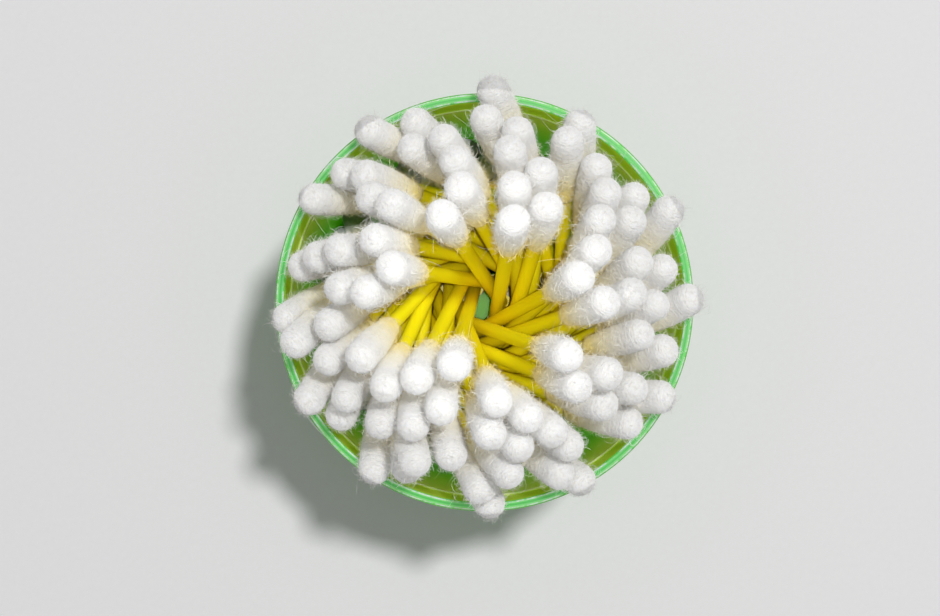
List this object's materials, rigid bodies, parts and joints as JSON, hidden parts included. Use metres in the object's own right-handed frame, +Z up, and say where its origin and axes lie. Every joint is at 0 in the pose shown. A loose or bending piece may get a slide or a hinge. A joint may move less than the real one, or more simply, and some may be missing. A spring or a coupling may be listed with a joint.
{
  "type": "cup of cotton swabs",
  "caption": "Round plastic cup, open on top, packed with double-ended cotton swabs that stand on end in a twisted bunch and fan out over the lip.",
  "frame": {"origin": "middle of the cup's flat underside, where it rests", "axes": "+Z up along the cup's axis, out of its open mouth; +X is the right of the picture and +Y its top"},
  "size_m": [0.0691, 0.071, 0.0748],
  "materials": {
    "cup": "moulded green plastic, glossy, slightly translucent",
    "stem": "smooth yellow plastic tube, soft gloss",
    "cotton": "wound white cotton with fine fuzz"
  },
  "bodies": {
    "root": {"course_1_lower_tips": "cotton", "course_1_stems": "stem", "course_1_upper_tips": "cotton", "course_2_lower_tips": "cotton", "course_2_stems": "stem", "course_2_upper_tips": "cotton", "course_3_lower_tips": "cotton", "course_3_stems": "stem", "course_3_upper_tips": "cotton", "course_4_lower_tips": "cotton", "course_4_stems": "stem", "course_4_upper_tips": "cotton", "course_5_lower_tips": "cotton", "course_5_stems": "stem", "course_5_upper_tips": "cotton", "course_6_lower_tips": "cotton", "course_6_stems": "stem", "course_6_upper_tips": "cotton", "course_7_lower_tips": "cotton", "course_7_stems": "stem", "course_7_upper_tips": "cotton", "course_8_lower_tips": "cotton", "course_8_stems": "stem", "course_8_upper_tips": "cotton", "course_9_lower_tips": "cotton", "course_9_stems": "stem", "course_9_upper_tips": "cotton", "cup": "cup"}
  },
  "joints": []
}
